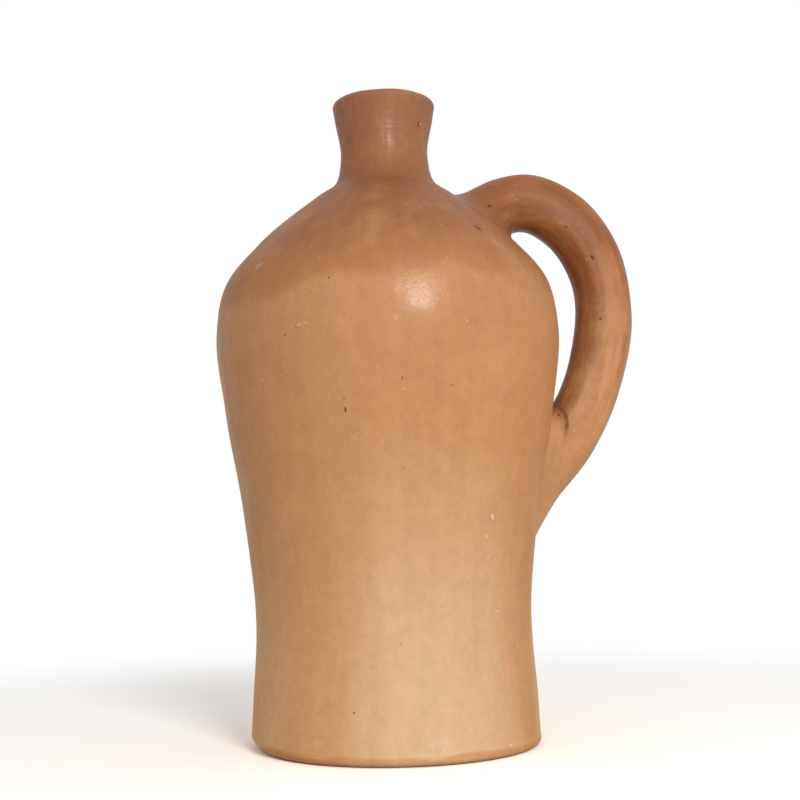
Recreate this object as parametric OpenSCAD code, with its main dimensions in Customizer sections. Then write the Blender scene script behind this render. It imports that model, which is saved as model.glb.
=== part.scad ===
// Terracotta water jar: a thrown bottle-shaped jar with a narrow neck and one side handle.
// It is built from the members that a potter makes and lutes together: a base slab, two
// wall sections, a shoulder dome, a neck, a lip coil, a pulled handle and its two roots.
// Millimetres. The jar stands on z = 0 round the Z axis, and the handle points along +X.

/* [Foot] */
// Radius of the foot where the wall stands on the base slab
foot_r = 77; // [75:0.5:79]
// Thickness of the base slab under the wall, and radius of its rounded edge
slab_t = 7; // [6:0.5:8]
// Radius of the raised plug of the slab that the wall is set round
plug_r = 63; // [60:0.5:65]
// Height of the inside floor above the ground
floor_z = 10.5; // [9.5:0.5:12]

/* [Body] */
// Thickness of the thrown wall
wall_t = 8; // [7:0.5:9]
// Radius at the waist, low on the body
waist_r = 74.1; // [72:0.1:76]
// Height of the waist
waist_z = 62; // [56:1:68]
// Radius of the belly, the widest part of the body
belly_r = 93.1; // [91:0.1:95]
// Height of the belly
belly_z = 220; // [216:1:223]

/* [Neck] */
// Radius of the neck at its narrowest
neck_r = 24; // [23.5:0.1:25]
// Height of the narrowest part of the neck
neck_z = 318; // [316:1:320]
// Radius of the shoulder's hole, which the neck's plug fills
seat_r = 26; // [25.5:0.1:27]

/* [Mouth] */
// Height of the jar to the top of the lip
jar_h = 350; // [348:0.5:353]
// Outer radius of the lip
lip_r = 28.2; // [27.5:0.1:29]
// Radius of the rounded rim, half the lip's thickness
rim_r = 3.6; // [3.2:0.1:4]
// Radius of the straight throat that takes a cork
throat_r = 16; // [15:0.1:16.4]
// Height of the throat's lower end
throat_z = 309; // [308:0.5:311]
// Length of the straight throat
throat_l = 18; // [16:0.5:19]
// Radius of the neck's collar inside the lip coil
collar_r = 23.5; // [23:0.1:24]
// Height of that collar above the lip coil's outer seam
collar_h = 3.5; // [3:0.1:4]

/* [Handle] */
// Distance of the handle's outermost point from the jar's axis
handle_reach = 138; // [136:0.5:142]
// Thickness of the grip, measured away from the body
grip_t = 31; // [28:0.5:32]
// Width of the grip, across the handle
grip_w = 29; // [26:0.5:32]
// Radius of the rounded tenons at the handle's two ends
tenon_r = 9; // [7:0.5:10]

/* [Hidden] */
$fn = 128;

pale_clay = [0.86, 0.66, 0.46];
belly_clay = [0.79, 0.56, 0.37];
shoulder_clay = [0.71, 0.46, 0.30];
neck_clay = [0.64, 0.41, 0.29];
handle_clay = [0.68, 0.41, 0.27];

// Steps between two knots of the body's outline, and between two stations of the handle
steps = 6;
handle_steps = 4;
// Corners of the handle's section
handle_sides = 28;
// Steps up a tenon's dome, and the angle at which its small flat tip begins
tenon_steps = 5;
tenon_tip_angle = 75;
// How many outline steps a slanted seam climbs through the wall
scarf = 2;

// Outer outline of the body as radius and height, from the top of the slab to the lip
knots = [
    [foot_r, slab_t], [foot_r - 1, 23], [waist_r, waist_z], [79.6, 122], [89.6, 182],
    [belly_r, belly_z], [belly_r - 4.6, 245], [72, 266], [38.5, 294], [27.5, 302.5],
    [neck_r, neck_z], [lip_r - 1.1, jar_h - 10.5], [lip_r, jar_h - rim_r]
];
// Knots at which the members meet, counted from 0. The neck's seat lies half a span higher
waist_knot = 3;
belly_knot = 5;
seat_knot = 8;
lip_knot = 11;

// Stations along the handle, from under the shoulder's skin to under the lower wall's:
// x and z of the outer edge, x and z of the inner edge, and half the width
mid_x = handle_reach - grip_t;
half_w = grip_w / 2;
stations = [
    [28, 292, 68, 262, 27], [42, 297.4, 66.5, 271.5, 21], [60, 305.6, 72, 276.2, 16],
    [80, 309.2, 80, 277, half_w], [108, 298.7, 93, 269, half_w],
    [129.5, 272, 103, 254.2, half_w], [handle_reach, 230, mid_x, 233, half_w],
    [130.8, 191, 101.8, 202.5, half_w], [112, 152.4, 89, 173, 16],
    [95, 133.8, 80, 155, 15], [84.5, 116.5, 72, 130, 11], [75, 98, 65, 100, 6]
];
// Rings of the sweep at which the handle's own clay begins and ends
upper_cut = 2 * handle_steps;
lower_cut = 7.5 * handle_steps;
last_ring = (len(stations) - 1) * handle_steps;

function unit(v) = v / norm(v);
function last(list) = list[len(list) - 1];
function backwards(list) = [for (i = [len(list) - 1:-1:0]) list[i]];

// Direction of a smooth curve at each of its knots: the nearer neighbour counts for more
function slope(k, i) =
    i == 0 ? unit(k[1] - k[0])
    : i == len(k) - 1 ? unit(k[i] - k[i - 1])
    : let (a = norm(k[i] - k[i - 1]), b = norm(k[i + 1] - k[i]))
      ((k[i] - k[i - 1]) * b / a + (k[i + 1] - k[i]) * a / b) / (a + b);

// Cubic span from p to q that leaves along m and arrives along n
function span(p, q, m, n, t) =
    p * (1 + t * t * (2 * t - 3)) + m * (t * (1 - t) * (1 - t))
    + q * (t * t * (3 - 2 * t)) - n * (t * t * (1 - t));

// Smooth curve through the knots k, with the same number of steps in every span
function curve(k, count) = [
    for (i = [0:len(k) - 2], j = [0:count - 1])
        let (d = norm(k[i + 1] - k[i]))
        span(k[i], k[i + 1], slope(k, i) * d, slope(k, i + 1) * d, j / count),
    last(k)
];

function arc(centre, r, from, to, count) = [
    for (j = [0:count])
        let (a = from + (to - from) * j / count)
        centre + r * [cos(a), sin(a)]
];

skin = curve(knots, steps);

// Point of the inside face, one wall thickness in from the skin
function inside(i) =
    let (along = unit(skin[i + 1] - skin[i - 1]))
    skin[i] + wall_t * [-along.y, along.x];

waist_i = waist_knot * steps;
belly_i = belly_knot * steps;
seat_i = (seat_knot + 0.5) * steps;
lip_i = lip_knot * steps;

// Outline of a wall section between two slanted seams, as radius and height
function wall_outline(low, high) = concat(
    [for (i = [low:high]) skin[i]],
    [for (i = [high + scarf:-1:low + scarf]) inside(i)]
);

// Inside of the wall's foot: from the plug of the slab up to the even wall
heel = [[plug_r, slab_t], [plug_r, floor_z], [plug_r + 2.4, floor_z + 3.5],
        [plug_r + 4.2, floor_z + 10]];

// Inside of the flaring mouth, from the throat to the rim
flare = curve([[throat_r, throat_z + throat_l], [throat_r + 1.7, jar_h - 14],
               [lip_r - 2 * rim_r, jar_h - rim_r]], 5);
seam_z = skin[lip_i].y;
rim_centre = [lip_r - rim_r, jar_h - rim_r];

// Inside of the neck's plug: from the shoulder's hole up to the throat
throat_entry = [for (i = [seat_i - 2:(seat_knot + 2) * steps])
    let (p = inside(i)) if (p.x < seat_r && p.x > throat_r + 0.6) p];

module base_slab() {
    edge = arc([foot_r - slab_t, slab_t], slab_t, -90, 0, 10);
    color(pale_clay)
        rotate_extrude()
            polygon(concat([[0, 0]], edge, [[plug_r, slab_t], [plug_r, floor_z], [0, floor_z]]));
}

module lower_wall() {
    outer = [for (i = [0:waist_i]) skin[i]];
    inner = [for (i = [waist_i + scarf:-1:1]) if (inside(i).y > last(heel).y + 8) inside(i)];
    color(pale_clay)
        rotate_extrude()
            polygon(concat(outer, inner, backwards(heel)));
}

module belly_wall() {
    color(belly_clay)
        rotate_extrude()
            polygon(wall_outline(waist_i, belly_i));
}

module shoulder() {
    outer = [for (i = [belly_i:seat_i]) skin[i]];
    inner = [for (i = [seat_i:-1:belly_i + scarf]) if (inside(i).x > seat_r) inside(i)];
    color(shoulder_clay)
        rotate_extrude()
            polygon(concat(outer, [[seat_r, last(outer).y], [seat_r, throat_entry[0].y]], inner));
}

module neck() {
    outer = [for (i = [seat_i:lip_i]) skin[i]];
    collar_z = seam_z + collar_h;
    mouth = [for (p = flare) if (p.y < collar_z - 0.5) p];
    collar_in = lookup(collar_z, [for (p = flare) [p.y, p.x]]);
    color(neck_clay)
        rotate_extrude()
            polygon(concat(
                outer,
                [[collar_r, seam_z], [collar_r, collar_z], [collar_in, collar_z]],
                backwards(mouth),
                [[throat_r, throat_z]],
                backwards(throat_entry),
                [[seat_r, throat_entry[0].y], [seat_r, outer[0].y]]
            ));
}

module lip() {
    outer = [for (i = [lip_i:len(skin) - 1]) skin[i]];
    rim = arc(rim_centre, rim_r, 0, 180, 14);
    collar_z = seam_z + collar_h;
    inner = [for (p = flare) if (p.y > collar_z + 0.5 && p.y < rim_centre.y - 0.1) p];
    collar_in = lookup(collar_z, [for (p = flare) [p.y, p.x]]);
    color(neck_clay)
        rotate_extrude()
            polygon(concat(
                outer,
                [for (i = [1:len(rim) - 1]) rim[i]],
                backwards(inner),
                [[collar_in, collar_z], [collar_r, collar_z], [collar_r, seam_z]]
            ));
}

handle_line = curve(stations, handle_steps);

function station_middle(s) = [(s[0] + s[2]) / 2, 0, (s[1] + s[3]) / 2];

// Closed ring of points round one station: an oval across the handle
function ring(s) = [
    for (j = [0:handle_sides - 1])
        let (a = 360 * j / handle_sides)
        station_middle(s) + [(s[0] - s[2]) / 2 * cos(a), s[4] * sin(a), (s[1] - s[3]) / 2 * cos(a)]
];

// Round ring of radius r on the section at one station, moved out of it by a distance
function round_ring(s, r, out) =
    let (u = unit([s[0] - s[2], 0, s[1] - s[3]]), forward = [u.z, 0, -u.x])
    [for (j = [0:handle_sides - 1])
        let (a = 360 * j / handle_sides)
        station_middle(s) + forward * out + r * [u.x * cos(a), sin(a), u.z * cos(a)]];

// Rings of a domed tenon, from its root on the section to its tip, forward or back
function tenon_rings(s, way) = [
    for (k = [0:tenon_steps])
        let (a = tenon_tip_angle * k / tenon_steps)
        round_ring(s, tenon_r * cos(a), way * tenon_r * sin(a))
];

function handle_rings(from, to) = [for (i = [from:to]) ring(handle_line[i])];

function sum(list, i = 0) = i == len(list) - 1 ? list[i] : list[i] + sum(list, i + 1);

// Solid swept through rings of points. Its flat ends are fans of triangles round their middles
module swept(rings) {
    n = handle_sides;
    top = len(rings) - 1;
    middle = len(rings) * n;
    points = concat([for (r = rings) each r], [sum(rings[0]) / n, sum(rings[top]) / n]);
    ends = [for (j = [0:n - 1])
        let (k = (j + 1) % n)
        each [[middle, j, k], [middle + 1, top * n + k, top * n + j]]];
    sides = [for (i = [0:top - 1], j = [0:n - 1])
        let (k = (j + 1) % n, a = i * n + j, b = i * n + k)
        each [[a, a + n, b + n], [a, b + n, b]]];
    polyhedron(points = points, faces = concat(ends, sides));
}

// Everything inside the skin between two heights, to cut the roots to the wall
module body_core(low, high) {
    rotate_extrude()
        polygon(concat([[0, skin[low].y]], [for (i = [low:high]) skin[i]], [[0, skin[high].y]]));
}

// Round socket for a tenon, in the root that meets the handle at one of its rings
module socket(at) {
    translate(station_middle(handle_line[at]))
        sphere(tenon_r, $fn = 48);
}

module handle() {
    color(handle_clay)
        swept(concat(
            backwards(tenon_rings(handle_line[upper_cut], -1)),
            handle_rings(upper_cut, lower_cut),
            tenon_rings(handle_line[lower_cut], 1)
        ));
}

module upper_root() {
    color(shoulder_clay)
        difference() {
            swept(handle_rings(0, upper_cut));
            body_core(belly_i, (seat_knot + 2) * steps);
            socket(upper_cut);
        }
}

module lower_root() {
    color(belly_clay)
        difference() {
            swept(handle_rings(lower_cut, last_ring));
            body_core(steps, belly_i);
            socket(lower_cut);
        }
}

base_slab();
lower_wall();
belly_wall();
shoulder();
neck();
lip();
handle();
upper_root();
lower_root();
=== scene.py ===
# %% [markdown]
# # A burnished terracotta water jar
#
# This lesson dresses the CAD frame of a hand-thrown water jar. A potter throws the body in
# rings, closes it with a shoulder, adds a neck and a rolled lip, and smears the two ends of a
# pulled handle onto the wall. Here every one of those members becomes its own closed mesh,
# made from the same few named sizes as the frame, so that the members meet seam to seam.

from bisect import bisect_left
from math import atan2, ceil, cos, degrees, exp, hypot, pi, radians, sin, sqrt

import bmesh
import bpy
from mathutils import Matrix, Vector, noise


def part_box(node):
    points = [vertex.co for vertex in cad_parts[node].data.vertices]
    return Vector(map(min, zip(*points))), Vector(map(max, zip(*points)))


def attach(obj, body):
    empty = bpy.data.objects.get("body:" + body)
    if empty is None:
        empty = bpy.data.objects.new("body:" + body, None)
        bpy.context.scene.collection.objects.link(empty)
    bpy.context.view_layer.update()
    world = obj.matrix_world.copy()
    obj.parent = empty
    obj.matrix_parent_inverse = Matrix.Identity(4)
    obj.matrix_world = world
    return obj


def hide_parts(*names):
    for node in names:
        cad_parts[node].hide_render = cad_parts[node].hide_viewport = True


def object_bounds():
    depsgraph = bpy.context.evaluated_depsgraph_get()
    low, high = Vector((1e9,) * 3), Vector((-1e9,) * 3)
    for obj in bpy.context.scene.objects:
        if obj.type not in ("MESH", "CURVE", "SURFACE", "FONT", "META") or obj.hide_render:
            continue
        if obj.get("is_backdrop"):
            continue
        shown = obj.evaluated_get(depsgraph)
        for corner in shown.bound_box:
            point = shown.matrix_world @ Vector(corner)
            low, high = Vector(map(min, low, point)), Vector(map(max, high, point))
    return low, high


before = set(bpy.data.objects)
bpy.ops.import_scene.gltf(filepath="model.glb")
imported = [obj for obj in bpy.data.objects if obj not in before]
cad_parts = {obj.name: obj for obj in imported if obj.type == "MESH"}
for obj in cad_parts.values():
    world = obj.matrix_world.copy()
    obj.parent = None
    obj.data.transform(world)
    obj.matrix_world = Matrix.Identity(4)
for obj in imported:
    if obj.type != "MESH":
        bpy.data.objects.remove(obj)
frame_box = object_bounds()
print("The frame has the nodes", sorted(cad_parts))

# %% [markdown]
# ## The sizes
#
# The outline of a thrown jar is one smooth line from the foot to the rim. It could be traced
# as a dense list of points, but thirteen knots and a smooth curve through them say the same
# and can be changed by hand. The foot, the height, the lip and the reach of the handle come
# from the frame, so the two always agree. All sizes are metres.

# %% Sizes and the jar's outline
MM = 0.001
foot_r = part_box("base_slab")[1].x
floor_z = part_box("base_slab")[1].z
slab_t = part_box("lower_wall")[0].z
jar_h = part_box("lip")[1].z
lip_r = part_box("lip")[1].x
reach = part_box("handle")[1].x
wall_t = 8 * MM
rim_r = 3.6 * MM
plug_r = 63 * MM
seat_r = 26 * MM
throat_r, throat_z, throat_top = 16 * MM, 309 * MM, 327 * MM
collar_r, collar_h = 23.5 * MM, 3.5 * MM
lip_start = jar_h - 10.5 * MM

knots = [Vector((foot_r, slab_t)), Vector((foot_r - MM, 23 * MM))] + [
    Vector((r, z)) * MM
    for r, z in ((74.1, 62), (79.6, 122), (89.6, 182), (93.1, 220), (88.5, 245),
                 (72, 266), (38.5, 294), (27.5, 302.5), (24, 318))
] + [Vector((lip_r - 1.1 * MM, lip_start)), Vector((lip_r, jar_h - rim_r))]
LAST_KNOT = len(knots) - 1
# where two members meet, counted in knots from the foot
WAIST_SEAM, BELLY_SEAM, NECK_SEAM, LIP_SEAM = 3, 5, 8.5, 11
print("The outline has", len(knots), "knots up to", round(knots[-1].y / MM, 1), "mm")

# %% [markdown]
# ### A smooth line through the knots
#
# A polyline through so few knots would leave flats on the belly. Each span is bent instead
# into a cubic that leaves one knot and arrives at the next in the line's own direction. The
# inner face of the wall is the same line, one wall thickness further in.

# %% The smooth outline
def heading(k, i):
    """Direction of the smooth curve at knot i: the nearer neighbour counts for more."""
    if i == 0:
        return (k[1] - k[0]).normalized()
    if i == len(k) - 1:
        return (k[i] - k[i - 1]).normalized()
    back, ahead = k[i] - k[i - 1], k[i + 1] - k[i]
    a, b = back.length, ahead.length
    return (back * b / a + ahead * a / b) / (a + b)


def curve(k, t):
    """Point of the smooth curve through the knots k: t = 2.5 is halfway from knot 2 to 3."""
    i = min(int(t), len(k) - 2)
    t -= i
    d = (k[i + 1] - k[i]).length
    leave, arrive = heading(k, i) * d, heading(k, i + 1) * d
    return (k[i] * (1 + t * t * (2 * t - 3)) + leave * (t * (1 - t) ** 2)
            + k[i + 1] * (t * t * (3 - 2 * t)) - arrive * (t * t * (1 - t)))


def skin(t):
    return curve(knots, t)


def inside(t):
    """Point of the wall's inner face, one wall thickness in from the skin."""
    along = (skin(min(t + 0.01, LAST_KNOT)) - skin(max(t - 0.01, 0))).normalized()
    return skin(t) + wall_t * Vector((-along.y, along.x))


PER_SPAN = 50
table = [skin(i / PER_SPAN) for i in range(LAST_KNOT * PER_SPAN + 1)]
table_z = [p.y for p in table]


def radius_at(z):
    """Radius of the jar's skin at one height, looked up in the table."""
    i = min(max(bisect_left(table_z, z), 1), len(table) - 1)
    a, b = table[i - 1], table[i]
    share = min(max((z - a.y) / (b.y - a.y), 0), 1)
    return a.x + (b.x - a.x) * share


print("Belly radius", round(max(p.x for p in table) * 1000, 2), "mm")

# %% [markdown]
# ## The unevenness of the hand
#
# Nothing thrown by hand is perfectly round. If each mesh had its own noise, gaps would open
# where two members meet. So the push is a fixed field in space: whatever lies at one place
# moves the same way. The field dies away at the ground, where the jar was cut off flat with
# a wire, and a hair of shrinkage keeps the jar inside the frame's box. The rim sinks a little
# to one side, and the foot gets an uneven bevel with a wandering crease above it.

# %% The shared field of small dents
noise.seed_set(3)
# waves per metre and millimetres of push of the broad dents and of the small ones
BROAD, BROAD_PUSH = 14, 0.7
SMALL, SMALL_PUSH = 40, 0.25
SHRINK = 0.005
# the rim: how far it sinks everywhere and how much that wanders, in mm, and how many mm per
# metre it slopes towards the handle
RIM_DROP, RIM_WANDER, RIM_SLOPE = 0.65, 0.3, 9
# the foot's bevel: how much wider, as a share, it stands on the handle's side and at the front
BESIDE, IN_FRONT = 0.03, 0.05
BESIDE_AT, FRONT_AT = radians(-8), radians(-98)
# the crease in the foot: its height, how far that wanders and its half width, in mm
CREASE_Z, CREASE_WANDER, CREASE_W = 4.4, 1.1, 0.6


def ease(x, low, high):
    """0 below low, 1 above high, and a smooth step between."""
    x = min(max((x - low) / (high - low), 0), 1)
    return x * x * (3 - 2 * x)


def uneven(p):
    """Where the hand leaves a point that the frame has at p."""
    calm = ease(p.z, 3 * MM, 30 * MM)
    push = noise.noise_vector(p * BROAD) * BROAD_PUSH + noise.noise_vector(p * SMALL) * SMALL_PUSH
    q = p + push * (calm * MM)
    rim = ease(p.z, 338 * MM, jar_h)
    wander = RIM_WANDER * noise.noise(Vector((p.x, p.y, 0)) * 60)
    q.z -= rim * (RIM_DROP + wander + p.x * RIM_SLOPE) * MM
    r = hypot(p.x, p.y)
    scale = 1 - SHRINK * ease(r, 30 * MM, 85 * MM)
    if r > 60 * MM and p.z < 12 * MM:
        bearing = atan2(p.y, p.x)
        lean = BESIDE * cos(bearing - BESIDE_AT) + IN_FRONT * max(cos(bearing - FRONT_AT), 0)
        scale += lean * (1 - ease(p.z, 0, slab_t))
        line = (CREASE_Z + CREASE_WANDER * noise.noise(Vector((p.x, p.y, 0)) * 28)) * MM
        deep = 0.35 + 0.5 * noise.noise(Vector((p.x, p.y, 0.1)) * 45)
        scale -= 0.006 * max(deep, 0) * exp(-(((p.z - line) / (CREASE_W * MM)) ** 2))
    return Vector((q.x * scale, q.y * scale, q.z))


on_belly = Vector((0, -radius_at(220 * MM), 220 * MM))
print("A point of the belly moves by", round((uneven(on_belly) - on_belly).length / MM, 2), "mm")

# %% [markdown]
# ## One material for one clay
#
# The whole jar is one clay, but its colour runs from pale ochre at the foot to red brown
# at the neck. The colour, the burnishing strokes, the grit and the chips are each a small
# node group that is built once and used by the materials of all five slots. A picture could
# give the same colours, but nodes stay sharp at any distance and need no unwrapping.

# %% Helpers for node trees
def srgb(r, g, b):
    """A colour as it is read off a screen, turned into the linear values nodes work with."""
    return tuple(((c / 255 + 0.055) / 1.055) ** 2.4 if c > 10 else c / 3294.6
                 for c in (r, g, b)) + (1.0,)


def put(tree, kind, settings=None, **inputs):
    """Adds a node. An input that is a socket is wired in, and any other is typed in."""
    made = tree.nodes.new("ShaderNode" + kind)
    for key, value in (settings or {}).items():
        setattr(made, key, value)
    for key, value in inputs.items():
        numbered = key[1:].isdigit()
        socket = made.inputs[int(key[1:]) if numbered else key.replace("_", " ")]
        if isinstance(value, bpy.types.NodeSocket):
            tree.links.new(value, socket)
        else:
            socket.default_value = value
    return made


def maths(tree, operation, a, b=0.0, c=0.0):
    return put(tree, "Math", {"operation": operation}, n0=a, n1=b, n2=c).outputs[0]


def vectors(tree, operation, a, b=(0, 0, 0)):
    made = put(tree, "VectorMath", {"operation": operation}, n0=a, n1=b)
    return made.outputs["Value" if operation in ("LENGTH", "DOT_PRODUCT") else "Vector"]


def blend(tree, share, a, b, way="MIX"):
    settings = {"data_type": "RGBA", "blend_type": way}
    return put(tree, "Mix", settings, n0=share, n6=a, n7=b).outputs[2]


def height_of(tree, where):
    return put(tree, "SeparateXYZ", None, Vector=where).outputs["Z"]


def rough(tree, where, scale, detail=2.0, roughness=0.5):
    """Cloud noise about 0.5."""
    return put(tree, "TexNoise", None, Vector=where, Scale=scale, Detail=detail,
               Roughness=roughness).outputs[0]


def window(tree, value, low, high, bottom=0.0, top=1.0):
    """Smooth step of a value between low and high."""
    made = put(tree, "MapRange", {"interpolation_type": "SMOOTHSTEP"}, Value=value,
               From_Min=low, From_Max=high, To_Min=bottom, To_Max=top)
    return made.outputs[0]


def group(name, inputs, outputs):
    """An empty node group with named sockets, and its two ends."""
    tree = bpy.data.node_groups.new(name, "ShaderNodeTree")
    for label, kind in inputs:
        tree.interface.new_socket(label, in_out="INPUT", socket_type="NodeSocket" + kind)
    for label, kind in outputs:
        tree.interface.new_socket(label, in_out="OUTPUT", socket_type="NodeSocket" + kind)
    return tree, tree.nodes.new("NodeGroupInput").outputs, tree.nodes.new("NodeGroupOutput").inputs


def use(tree, shared, **inputs):
    return put(tree, "Group", {"node_tree": shared}, **inputs).outputs


print("Half of full screen brightness is", round(srgb(128, 128, 128)[0], 3), "of the light")

# %% [markdown]
# ### Colour
#
# In the kiln the jar stood in its own draught. The clay is red brown at the neck and pale at
# the foot, and a ramp over the height gives that; the handle, which stood out into the draught,
# has its own redder tone. One plain colour for each member would show the seams, so the colour
# is read from the place in space and from how far a point is off the body.

# %% Colours of the fired clay
# heights in mm with the colour of the body there
FIRED = [(0, (224, 175, 122)), (40, (220, 171, 118)), (100, (209, 156, 105)),
         (160, (204, 149, 99)), (236, (199, 144, 99)), (241, (184, 127, 79)),
         (262, (164, 107, 66)), (300, (151, 98, 64)), (312, (163, 109, 72)),
         (350, (161, 107, 77))]
HANDLE_LOW, HANDLE_TOP = srgb(171, 107, 67), srgb(154, 95, 59)
# the handle's inner side, partly a darker clay and partly painted shade, and a painted sheen for
# its flank
HANDLE_INNER_TONE_AND_SHADE, HANDLE_SHEEN = srgb(130, 73, 38), srgb(214, 158, 118)
ROSE, OCHRE, ORANGE = srgb(198, 120, 80), srgb(216, 166, 108), srgb(206, 134, 72)
# the pale colour of a painted sheen low on the lit side, and the colour of the foot's lowest mm
SHEEN_PALE, SOLE = srgb(240, 214, 176), srgb(204, 138, 84)

# bearings: where a pale sheen is painted low on the side facing the key lamp, and the orange bands
# with their strength
LOW_SHEEN_AT = -80
BANDS = [(-37, 0.38), (-128, 0.16), (52, 0.3), (118, 0.2), (172, 0.25)]
print(len(FIRED), "colours over the height and", len(BANDS), "bands")

# %% The ramp over the height
colour_group, given, wanted = group(
    "clay_colour", [("Place", "Vector"), ("Lay", "Vector"), ("Off body", "Float")],
    [("Color", "Color")])
t = colour_group
height = height_of(t, given["Place"])
wander = maths(t, "MULTIPLY_ADD", rough(t, given["Place"], 9.0), 0.07, -0.035)
climb = maths(t, "DIVIDE", maths(t, "ADD", height, wander), jar_h)
ramp = put(t, "ValToRGB", None, Fac=climb)
while len(ramp.color_ramp.elements) < len(FIRED):
    ramp.color_ramp.elements.new(0.5)
for stop, (z, colour) in zip(ramp.color_ramp.elements, FIRED):
    stop.position = z * MM / jar_h
    stop.color = srgb(*colour)
tone = ramp.outputs["Color"]
print("The ramp has", len(ramp.color_ramp.elements), "stops")

# %% [markdown]
# The grip is redder than the body. Its inner side is partly a darker clay and partly painted
# shade of the face turned from the lamps, and a pale band on its flank is a painted sheen. The
# borders between these would look painted on if they were straight, so noise makes them wavy.

# %% Tones of the handle
upper = window(t, height, 0.16, 0.25)
tone = blend(t, maths(t, "MULTIPLY", maths(t, "MULTIPLY", given["Off body"], upper), 0.9), tone,
             blend(t, window(t, height, 0.22, 0.285), HANDLE_LOW, HANDLE_TOP))
across = put(t, "SeparateXYZ", None, Vector=given["Lay"]).outputs["X"]
wavy = maths(t, "MULTIPLY_ADD", rough(t, given["Lay"], 120.0, 4.0), 16 * MM, across)
# painted shade, partly a darker clay: the grip's inner side, turned from the lamps, is darkened
inner = maths(t, "MULTIPLY", window(t, wavy, 10 * MM, 0.0), given["Off body"])
tone = blend(t, maths(t, "MULTIPLY", inner, 0.44), tone, HANDLE_INNER_TONE_AND_SHADE)
# painted sheen: a paler band along the grip's flank stands in for the lamp's gleam
painted_sheen_band = maths(t, "MULTIPLY", window(t, wavy, 5.5 * MM, 9 * MM),
             window(t, wavy, 17 * MM, 12 * MM))
painted_sheen_band = maths(t, "MULTIPLY", painted_sheen_band, window(t, height, 0.275, 0.25, 0.0, 0.3))
tone = blend(t, maths(t, "MULTIPLY", painted_sheen_band, given["Off body"]), tone, HANDLE_SHEEN)
pulled = window(t, rough(t, given["Lay"], 330.0, 3.0, 0.6), 0.3, 0.7, 0.88, 1.1)
tone = blend(t, given["Off body"], tone, blend(t, 1.0, tone, pulled, "MULTIPLY"))
print("With the handle:", len(t.nodes), "nodes")

# %% [markdown]
# Smoke and damp spots leave soft clouds of rose and ochre, and the draught left tall orange
# bands. A pale sheen is painted low on the side that faces the key lamp, and the lowest few
# millimetres of the foot are darker and more orange.

# %% Clouds, bands and the pale side
# each cloud reads its noise from its own place, so that they don't lie on each other
rosy = window(t, rough(t, vectors(t, "ADD", given["Place"], (7, 2, 4)), 15.0, 4.0, 0.6),
              0.52, 0.75, 0.0, 0.3)
tone = blend(t, rosy, tone, ROSE)
ochre = window(t, rough(t, vectors(t, "ADD", given["Place"], (6, 3, 1)), 24.0, 5.0, 0.62),
               0.52, 0.74, 0.0, 0.32)
tone = blend(t, ochre, tone, OCHRE)
flat = vectors(t, "NORMALIZE", vectors(t, "MULTIPLY", given["Place"], (1, 1, 0)))
ripple = maths(t, "MULTIPLY", rough(t, given["Lay"], 40.0, 3.0), 0.35)


def towards(bearing):
    """Near 1 on the side of the jar that has this bearing."""
    aim = (cos(radians(bearing)), sin(radians(bearing)), 0)
    return maths(t, "ADD", vectors(t, "DOT_PRODUCT", flat, aim), ripple)


for bearing, strength in BANDS:
    band = maths(t, "MULTIPLY", window(t, towards(bearing), 1.1, 1.19),
                 window(t, height, 0.27, 0.2))
    tone = blend(t, maths(t, "MULTIPLY", band, strength), tone, ORANGE)
# painted sheen: the low side facing the key lamp is made paler, as its gleam and the bright
# floor's reflection would make it
low_sheen = maths(t, "MULTIPLY", window(t, towards(LOW_SHEEN_AT), 0.85, 1.2),
              window(t, climb, 0.5, 0.08))
tone = blend(t, maths(t, "MULTIPLY", low_sheen, 0.45), tone, SHEEN_PALE)
# the lowest few mm of the foot are made darker and more orange
ragged_height = maths(t, "MULTIPLY_ADD", rough(t, given["Place"], 50.0), 5 * MM, height)
sole = window(t, ragged_height, 8 * MM, 6 * MM)
tone = blend(t, maths(t, "MULTIPLY", sole, 0.6), tone, SOLE)
print("With clouds and bands:", len(t.nodes), "nodes")

# %% [markdown]
# Last, the whole tone is multiplied by two fine patterns: tall faint streaks, which the
# burnishing pebble drew, and a mottle of a few millimetres, as coarse clay has.

# %% Streaks and mottle
streak = window(t, rough(t, given["Lay"], 95.0, 4.0, 0.62), 0.3, 0.72, 0.965, 1.03)
tone = blend(t, 1.0, tone, streak, "MULTIPLY")
mottle = window(t, rough(t, given["Place"], 110.0, 9.0, 0.86), 0.33, 0.67, 0.92, 1.07)
tone = blend(t, 1.0, tone, mottle, "MULTIPLY")
t.links.new(tone, wanted["Color"])
print("Colour group:", len(t.nodes), "nodes")

# %% [markdown]
# ### Burnishing strokes and grit
#
# The leather-hard jar was rubbed up and down with a smooth pebble. Each rub leaves a shallow
# facet some 9 mm wide and much taller than wide, with finer drag lines in it. Noise that is
# read in unrolled coordinates, squeezed along the height, gives tall soft facets. The neck
# was hardly rubbed and keeps the rings of the throwing. The heights are millimetres, and a
# Bump node in the material turns them into slopes.

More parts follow.
